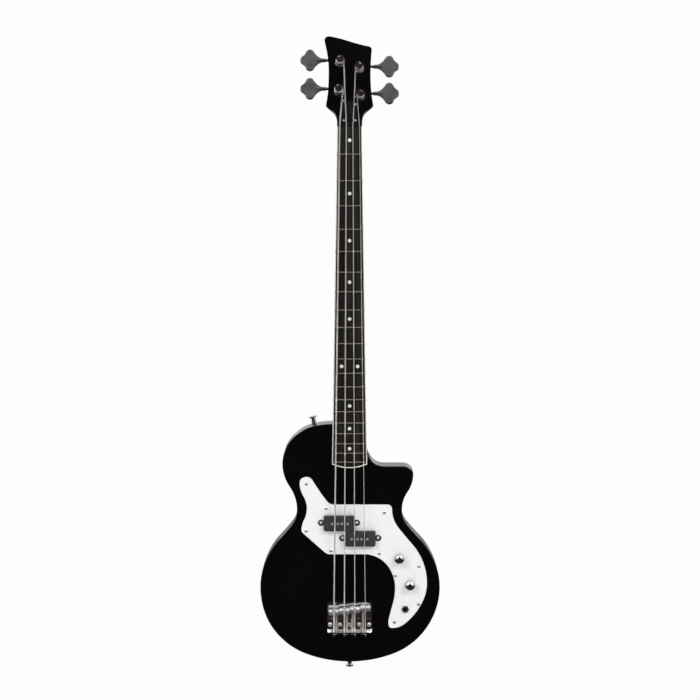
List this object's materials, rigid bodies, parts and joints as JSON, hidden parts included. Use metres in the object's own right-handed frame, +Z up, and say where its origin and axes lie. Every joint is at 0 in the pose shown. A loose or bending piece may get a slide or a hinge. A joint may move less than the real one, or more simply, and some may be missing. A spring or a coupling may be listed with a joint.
{
  "type": "electric bass guitar",
  "caption": "Solid-body electric bass guitar with a single cutaway, bolt-on bound neck, open-gear tuners, split pickup, adjustable bridge and turning controls.",
  "frame": {"origin": "where the tail strap button meets the body's lower end, at half the body's depth", "axes": "+Z up along the neck, +X to the right seen from the front, the front faces -Y"},
  "size_m": [0.3258, 0.061, 1.1362],
  "materials": {
    "black_lacquer": "high gloss lacquer",
    "binding": "polished",
    "fingerboard_wood": "oiled, faint grain",
    "fret_steel": "polished",
    "marker_pearl": "pearly",
    "black_plastic": "satin gloss",
    "pickup_plastic": "satin",
    "guard_plastic": "gloss",
    "chrome": "mirror",
    "tuner_metal": "smoky polished metal",
    "string_nickel": "wound",
    "screw_steel": "plated",
    "magnet_alloy": "ground",
    "coil_copper": "enamelled wire",
    "foam": "open foam",
    "wire_insulation": "smooth",
    "capacitor_film": "dipped"
  },
  "bodies": {
    "instrument": {"body": "black_lacquer", "neck": "black_lacquer", "fingerboard": "fingerboard_wood", "fingerboard_binding": "binding", "fret_wires": "fret_steel", "fret_markers": "marker_pearl", "string_nut": "black_plastic", "truss_rod": "screw_steel", "truss_rod_cover": "black_plastic", "truss_rod_cover_screws": "screw_steel", "tuner_baseplates": "chrome", "tuner_bushings": "chrome", "tuner_screws": "screw_steel", "pickguard": "guard_plastic", "pickguard_screws": "screw_steel", "pickup_covers": "pickup_plastic", "pickup_magnets": "magnet_alloy", "pickup_coils": "coil_copper", "pickup_foam": "foam", "pickup_screws": "screw_steel", "potentiometers": "screw_steel", "control_nuts": "chrome", "output_jack": "chrome", "tone_capacitor": "capacitor_film", "control_wires": "wire_insulation", "bridge_plate": "chrome", "bridge_screws": "screw_steel", "string_ball_ends": "string_nickel", "strap_buttons": "chrome", "strap_button_screws": "screw_steel", "neck_screws": "screw_steel", "neck_ferrules": "chrome", "string_e": "string_nickel", "intonation_spring_e": "screw_steel", "string_a": "string_nickel", "intonation_spring_a": "screw_steel", "string_d": "string_nickel", "intonation_spring_d": "screw_steel", "string_g": "string_nickel", "intonation_spring_g": "screw_steel"},
    "tuner_key_e": {"tuner_key_e": "tuner_metal"},
    "tuner_post_e": {"tuner_post_e": "chrome"},
    "saddle_e": {"saddle_e": "chrome"},
    "intonation_screw_e": {"intonation_screw_e": "screw_steel"},
    "tuner_key_a": {"tuner_key_a": "tuner_metal"},
    "tuner_post_a": {"tuner_post_a": "chrome"},
    "saddle_a": {"saddle_a": "chrome"},
    "intonation_screw_a": {"intonation_screw_a": "screw_steel"},
    "tuner_key_d": {"tuner_key_d": "tuner_metal"},
    "tuner_post_d": {"tuner_post_d": "chrome"},
    "saddle_d": {"saddle_d": "chrome"},
    "intonation_screw_d": {"intonation_screw_d": "screw_steel"},
    "tuner_key_g": {"tuner_key_g": "tuner_metal"},
    "tuner_post_g": {"tuner_post_g": "chrome"},
    "saddle_g": {"saddle_g": "chrome"},
    "intonation_screw_g": {"intonation_screw_g": "screw_steel"},
    "volume_knob": {"volume_knob": "chrome"},
    "tone_knob": {"tone_knob": "chrome"},
    "truss_rod_nut": {"truss_rod_nut": "screw_steel"}
  },
  "joints": [
    {"name": "tuner_key_e_turn", "type": "hinge", "parent": "instrument", "child": "tuner_key_e", "pos_m": [-0.0186, 0.00827, 1.03153], "axis": [1, 0, 0], "continuous": true},
    {"name": "tuner_post_e_turn", "type": "hinge", "parent": "instrument", "child": "tuner_post_e", "pos_m": [-0.0186, -0.01316, 1.02515], "axis": [0, 0.9848, -0.1736], "continuous": true},
    {"name": "tuner_key_a_turn", "type": "hinge", "parent": "instrument", "child": "tuner_key_a", "pos_m": [-0.0166, 0.01712, 1.08175], "axis": [1, 0, 0], "continuous": true},
    {"name": "tuner_post_a_turn", "type": "hinge", "parent": "instrument", "child": "tuner_post_a", "pos_m": [-0.0166, -0.00431, 1.07538], "axis": [0, 0.9848, -0.1736], "continuous": true},
    {"name": "tuner_key_d_turn", "type": "hinge", "parent": "instrument", "child": "tuner_key_d", "pos_m": [0.0166, 0.01518, 1.07072], "axis": [1, 0, 0], "continuous": true},
    {"name": "tuner_post_d_turn", "type": "hinge", "parent": "instrument", "child": "tuner_post_d", "pos_m": [0.0166, -0.00625, 1.06435], "axis": [0, 0.9848, -0.1736], "continuous": true},
    {"name": "tuner_key_g_turn", "type": "hinge", "parent": "instrument", "child": "tuner_key_g", "pos_m": [0.0188, 0.00681, 1.02326], "axis": [1, 0, 0], "continuous": true},
    {"name": "tuner_post_g_turn", "type": "hinge", "parent": "instrument", "child": "tuner_post_g", "pos_m": [0.0188, -0.01462, 1.01688], "axis": [0, 0.9848, -0.1736], "continuous": true},
    {"name": "intonation_screw_e_turn", "type": "hinge", "parent": "instrument", "child": "intonation_screw_e", "pos_m": [-0.0241, -0.029, 0.058], "axis": [0, 0, 1], "range_deg": [-1890, 1890]},
    {"name": "saddle_e_slide", "type": "slide", "parent": "instrument", "child": "saddle_e", "axis": [0, 0, 1], "range_m": [-0.0035, 0.0035], "deforming": ["intonation_spring_e"]},
    {"name": "intonation_screw_a_turn", "type": "hinge", "parent": "instrument", "child": "intonation_screw_a", "pos_m": [-0.0051, -0.029, 0.058], "axis": [0, 0, 1], "range_deg": [-1890, 1890]},
    {"name": "saddle_a_slide", "type": "slide", "parent": "instrument", "child": "saddle_a", "axis": [0, 0, 1], "range_m": [-0.0035, 0.0035], "deforming": ["intonation_spring_a"]},
    {"name": "intonation_screw_d_turn", "type": "hinge", "parent": "instrument", "child": "intonation_screw_d", "pos_m": [0.0051, -0.029, 0.058], "axis": [0, 0, 1], "range_deg": [-1890, 1890]},
    {"name": "saddle_d_slide", "type": "slide", "parent": "instrument", "child": "saddle_d", "axis": [0, 0, 1], "range_m": [-0.0035, 0.0035], "deforming": ["intonation_spring_d"]},
    {"name": "intonation_screw_g_turn", "type": "hinge", "parent": "instrument", "child": "intonation_screw_g", "pos_m": [0.0241, -0.029, 0.058], "axis": [0, 0, 1], "range_deg": [-1890, 1890]},
    {"name": "saddle_g_slide", "type": "slide", "parent": "instrument", "child": "saddle_g", "axis": [0, 0, 1], "range_m": [-0.0035, 0.0035], "deforming": ["intonation_spring_g"]},
    {"name": "volume_knob_turn", "type": "hinge", "parent": "instrument", "child": "volume_knob", "pos_m": [0.09, -0.0235, 0.1954], "axis": [0, -1, 0], "range_deg": [-150, 150]},
    {"name": "tone_knob_turn", "type": "hinge", "parent": "instrument", "child": "tone_knob", "pos_m": [0.1092, -0.0235, 0.1462], "axis": [0, -1, 0], "range_deg": [-150, 150]},
    {"name": "truss_rod_nut_turn", "type": "hinge", "parent": "instrument", "child": "truss_rod_nut", "pos_m": [0, -0.016, 0.9712], "axis": [0, 0, 1], "range_deg": [-180, 180]}
  ],
  "couplings": [
    {"joint": "tuner_post_e_turn", "follows": "tuner_key_e_turn", "ratio": 0.055556},
    {"joint": "tuner_post_a_turn", "follows": "tuner_key_a_turn", "ratio": 0.055556},
    {"joint": "tuner_post_d_turn", "follows": "tuner_key_d_turn", "ratio": -0.055556},
    {"joint": "tuner_post_g_turn", "follows": "tuner_key_g_turn", "ratio": -0.055556},
    {"joint": "intonation_screw_e_turn", "follows": "saddle_e_slide", "rad_per_m": 8976},
    {"joint": "intonation_screw_a_turn", "follows": "saddle_a_slide", "rad_per_m": 8976},
    {"joint": "intonation_screw_d_turn", "follows": "saddle_d_slide", "rad_per_m": 8976},
    {"joint": "intonation_screw_g_turn", "follows": "saddle_g_slide", "rad_per_m": 8976}
  ]
}
